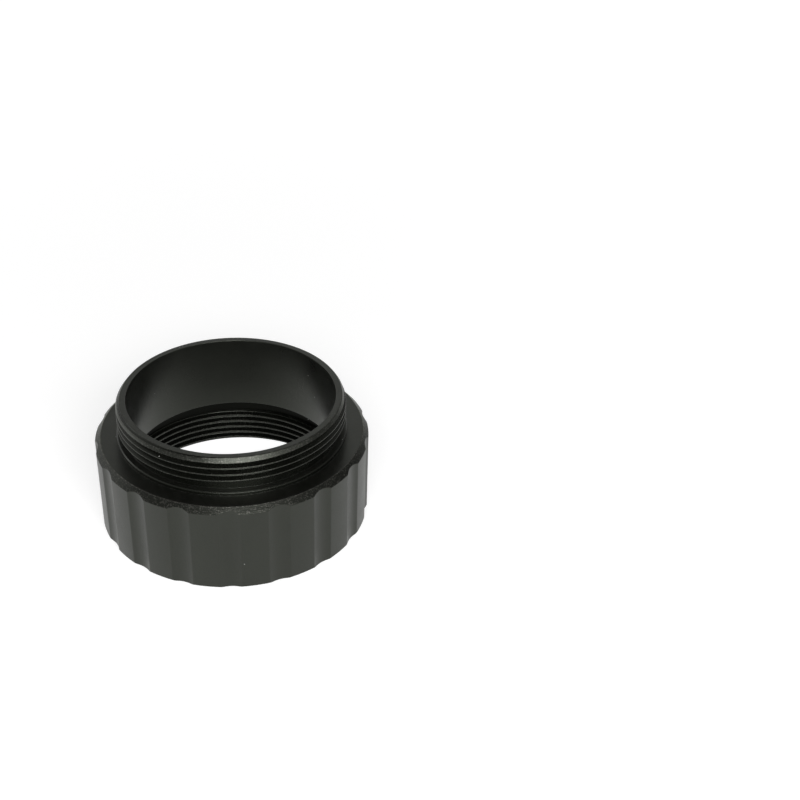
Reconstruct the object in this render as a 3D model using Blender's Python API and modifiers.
"""Lens extension ring, turned from one piece of aluminium bar.

A fluted grip stands on the ring's lower face. A threaded collar rises from the grip's shoulder, and
screws into a camera. The grip's lower end is a threaded socket of the same size, for a lens. A plain
bore joins the two. The origin is the centre of the lower face, and +Z runs towards the collar.
"""

import math

import bmesh
import bpy

MM = 0.001

# Thread: the one-inch lens thread with thirty-two turns to the inch
THREAD_DIAMETER = 25.4 * MM
THREAD_PITCH = 25.4 / 32 * MM
FLANK_ANGLE = math.radians(30)
ROOT_FLAT = 0.10 * MM

# Grip: the fluted body from the lower face to the shoulder, as thick as this outside the thread
GRIP_WALL = 2.60 * MM
GRIP_LENGTH = 10.5 * MM
SHOULDER_CHAMFER = 0.65 * MM
FOOT_CHAMFER = 0.13 * MM
FLUTE_COUNT = 18
FLUTE_DEPTH = 0.29 * MM
FLUTE_TOOL_DIAMETER = 6.0 * MM

# Collar: the male end above the shoulder, with the bore this far inside the thread
COLLAR_WALL = 1.15 * MM
COLLAR_LENGTH = 4.5 * MM
COLLAR_CHAMFER = 0.45 * MM
COLLAR_CHAMFER_LENGTH = 0.60 * MM
COLLAR_THREAD_DEPTH = 0.49 * MM
COLLAR_RELIEF_WIDTH = 1.05 * MM
COLLAR_RELIEF_DEPTH = 0.62 * MM

# Register: the plain ring at the collar's foot, which stands out this far past the thread
REGISTER_STEP = 0.15 * MM
REGISTER_LENGTH = 0.45 * MM
REGISTER_BEVEL = 0.12 * MM
REGISTER_SIDE_CLEARANCE = 0.10 * MM
REGISTER_END_CLEARANCE = 0.10 * MM

# Socket: the female end, whose crests stand this far inside the thread's full size
SOCKET_CREST_INSET = 0.40 * MM
SOCKET_DEPTH = 6.2 * MM
SOCKET_THREAD_LENGTH = 4.3 * MM
SOCKET_THREAD_DEPTH = 0.43 * MM
SOCKET_RELIEF_DEPTH = 0.55 * MM

# Where a thread's groove crosses a chosen side of the ring: front is -Y, back is +Y
FRONT = math.radians(-90)
BACK = math.radians(90)
COLLAR_GROOVE_BELOW_RIM = 0.74 * MM
SOCKET_GROOVE_HEIGHT = 1.02 * MM

# Facets, and how far a cutter runs past what it cuts
SEGMENTS = 72
FLUTE_TOOL_SEGMENTS = 40
OVERRUN = 0.6 * MM
TOOL_SIDE = 0.03 * MM
TOOL_BACK = 0.20 * MM
SEAM_MERGE = 0.001 * MM

THREAD_RADIUS = THREAD_DIAMETER / 2
GRIP_RADIUS = THREAD_RADIUS + GRIP_WALL
BORE_RADIUS = THREAD_RADIUS - COLLAR_WALL
SOCKET_RADIUS = THREAD_RADIUS - SOCKET_CREST_INSET
REGISTER_RADIUS = THREAD_RADIUS + REGISTER_STEP
TOTAL_LENGTH = GRIP_LENGTH + COLLAR_LENGTH


def clear_scene():
    """Starts from an empty scene."""
    for found in list(bpy.data.objects):
        bpy.data.objects.remove(found)


def new_collection(name):
    """A collection of that name in the scene."""
    made = bpy.data.collections.new(name)
    bpy.context.scene.collection.children.link(made)
    return made


def black_anodised():
    """The ring's one finish: black anodised aluminium."""
    made = bpy.data.materials.new("black_anodised")
    made.use_nodes = True
    shader = made.node_tree.nodes["Principled BSDF"]
    shader.inputs["Base Color"].default_value = (0.030, 0.031, 0.028, 1.0)
    shader.inputs["Roughness"].default_value = 0.42
    shader.inputs["Metallic"].default_value = 0.6
    return made


def loop_object(name, points, collection):
    """A closed outline of (radius, height) points, drawn in the XZ plane."""
    count = len(points)
    mesh = bpy.data.meshes.new(name)
    mesh.from_pydata(
        [(radius, 0.0, height) for radius, height in points],
        [(i, (i + 1) % count) for i in range(count)],
        [],
    )
    made = bpy.data.objects.new(name, mesh)
    collection.objects.link(made)
    return made


def outer_outline():
    """The section's outer side, from the collar's rim down to the lower face."""
    rim_radius = THREAD_RADIUS - COLLAR_CHAMFER
    relief_radius = THREAD_RADIUS - COLLAR_RELIEF_DEPTH
    register_top = GRIP_LENGTH + REGISTER_LENGTH
    relief_top = register_top + COLLAR_RELIEF_WIDTH
    return [
        (rim_radius, TOTAL_LENGTH),
        (THREAD_RADIUS, TOTAL_LENGTH - COLLAR_CHAMFER_LENGTH),
        (THREAD_RADIUS, relief_top),
        (relief_radius, relief_top),
        (relief_radius, register_top),
        (REGISTER_RADIUS - REGISTER_BEVEL, register_top),
        (REGISTER_RADIUS, register_top - REGISTER_BEVEL),
        (REGISTER_RADIUS, GRIP_LENGTH),
        (GRIP_RADIUS - SHOULDER_CHAMFER, GRIP_LENGTH),
        (GRIP_RADIUS, GRIP_LENGTH - SHOULDER_CHAMFER),
        (GRIP_RADIUS, FOOT_CHAMFER),
        (GRIP_RADIUS - FOOT_CHAMFER, 0.0),
    ]


def inner_outline():
    """The section's inner side, from the socket's mouth up to the collar's rim."""
    mouth_radius = REGISTER_RADIUS + REGISTER_SIDE_CLEARANCE
    mouth_depth = REGISTER_LENGTH + REGISTER_END_CLEARANCE
    relief_radius = SOCKET_RADIUS + SOCKET_RELIEF_DEPTH
    return [
        (mouth_radius, 0.0),
        (mouth_radius, mouth_depth),
        (SOCKET_RADIUS, mouth_depth),
        (SOCKET_RADIUS, SOCKET_THREAD_LENGTH),
        (relief_radius, SOCKET_THREAD_LENGTH),
        (relief_radius, SOCKET_DEPTH),
        (BORE_RADIUS, SOCKET_DEPTH),
        (BORE_RADIUS, TOTAL_LENGTH),
    ]


def turn(thing):
    """Turns an outline through one full round about Z."""
    screw = thing.modifiers.new("turn", "SCREW")
    screw.steps = SEGMENTS
    screw.render_steps = SEGMENTS
    screw.use_merge_vertices = True
    screw.merge_threshold = SEAM_MERGE
    screw.use_smooth_shade = False


def flute_cutters(collection):
    """Upright round cutters that mill the grip's flutes, as one object."""
    tool_radius = FLUTE_TOOL_DIAMETER / 2
    centre_radius = GRIP_RADIUS - FLUTE_DEPTH + tool_radius
    height = GRIP_LENGTH + 2 * OVERRUN
    shape = bmesh.new()
    for index in range(FLUTE_COUNT):
        angle = FRONT + index * math.tau / FLUTE_COUNT
        made = bmesh.ops.create_cone(
            shape,
            cap_ends=True,
            segments=FLUTE_TOOL_SEGMENTS,
            radius1=tool_radius,
            radius2=tool_radius,
            depth=height,
        )
        place = (centre_radius * math.cos(angle), centre_radius * math.sin(angle), GRIP_LENGTH / 2)
        bmesh.ops.translate(shape, vec=place, verts=made["verts"])
    mesh = bpy.data.meshes.new("flute_cutters")
    shape.to_mesh(mesh)
    shape.free()
    made = bpy.data.objects.new("flute_cutters", mesh)
    collection.objects.link(made)
    return made


def tool_section(wall_radius, depth, way):
    """A threading tool's section about its own middle height. way is -1 into a shaft, +1 into a hole."""
    tip_half = ROOT_FLAT / 2
    side_half = tip_half + (depth + TOOL_SIDE) * math.tan(FLANK_ANGLE)
    tip = wall_radius + way * depth
    side = wall_radius - way * TOOL_SIDE
    back = wall_radius - way * TOOL_BACK
    return [
        (tip, tip_half),
        (tip, -tip_half),
        (side, -side_half),
        (back, -side_half),
        (back, side_half),
        (side, side_half),
    ]


def thread_cutter(name, section, low, high, known_angle, known_height, collection):
    """The space that a threading tool sweeps: its section, wound up a right-hand helix from low to high.

    The middle of the groove crosses known_angle at known_height.
    """
    turns = (high - low) / THREAD_PITCH
    swept = loop_object(name + "_path", section, collection)
    screw = swept.modifiers.new("wind", "SCREW")
    screw.angle = turns * math.tau
    screw.screw_offset = high - low
    screw.steps = round(turns * SEGMENTS)
    screw.render_steps = screw.steps
    screw.use_merge_vertices = False
    screw.use_smooth_shade = False
    bpy.context.view_layer.update()
    mesh = bpy.data.meshes.new_from_object(swept.evaluated_get(bpy.context.evaluated_depsgraph_get()))
    bpy.data.objects.remove(swept)
    shape = bmesh.new()
    shape.from_mesh(mesh)
    ends = [edge for edge in shape.edges if edge.is_boundary]
    bmesh.ops.holes_fill(shape, edges=ends)
    bmesh.ops.recalc_face_normals(shape, faces=shape.faces)
    shape.to_mesh(mesh)
    shape.free()
    made = bpy.data.objects.new(name, mesh)
    made.location.z = low
    made.rotation_euler.z = known_angle + (low - known_height) / THREAD_PITCH * math.tau
    collection.objects.link(made)
    return made


def cut(thing, cutter):
    """Takes a cutter's shape out of a thing."""
    cutter.hide_render = True
    cutter.display_type = "WIRE"
    boolean = thing.modifiers.new(cutter.name, "BOOLEAN")
    boolean.operation = "DIFFERENCE"
    boolean.solver = "EXACT"
    boolean.object = cutter


def collar_thread_cutter(collection):
    """The tool's sweep round the collar, from the relief groove up past the rim."""
    relief_bottom = GRIP_LENGTH + REGISTER_LENGTH
    return thread_cutter(
        "collar_thread_cutter",
        tool_section(THREAD_RADIUS, COLLAR_THREAD_DEPTH, -1),
        relief_bottom + COLLAR_RELIEF_WIDTH / 2,
        TOTAL_LENGTH + OVERRUN,
        FRONT,
        TOTAL_LENGTH - COLLAR_GROOVE_BELOW_RIM,
        collection,
    )


def socket_thread_cutter(collection):
    """The tool's sweep round the socket, from below its mouth up into the relief groove."""
    return thread_cutter(
        "socket_thread_cutter",
        tool_section(SOCKET_RADIUS, SOCKET_THREAD_DEPTH, 1),
        -OVERRUN,
        SOCKET_THREAD_LENGTH + OVERRUN,
        BACK,
        SOCKET_GROOVE_HEIGHT,
        collection,
    )


def extension_ring(parts, cutters):
    """The whole ring: a turned blank, milled with flutes and threaded at both ends."""
    ring = loop_object("extension_ring", outer_outline() + inner_outline(), parts)
    turn(ring)
    cut(ring, flute_cutters(cutters))
    cut(ring, collar_thread_cutter(cutters))
    cut(ring, socket_thread_cutter(cutters))
    ring.data.materials.append(black_anodised())
    return ring


def main():
    clear_scene()
    parts = new_collection("lens_extension_ring")
    cutters = new_collection("cutters")
    extension_ring(parts, cutters)


main()
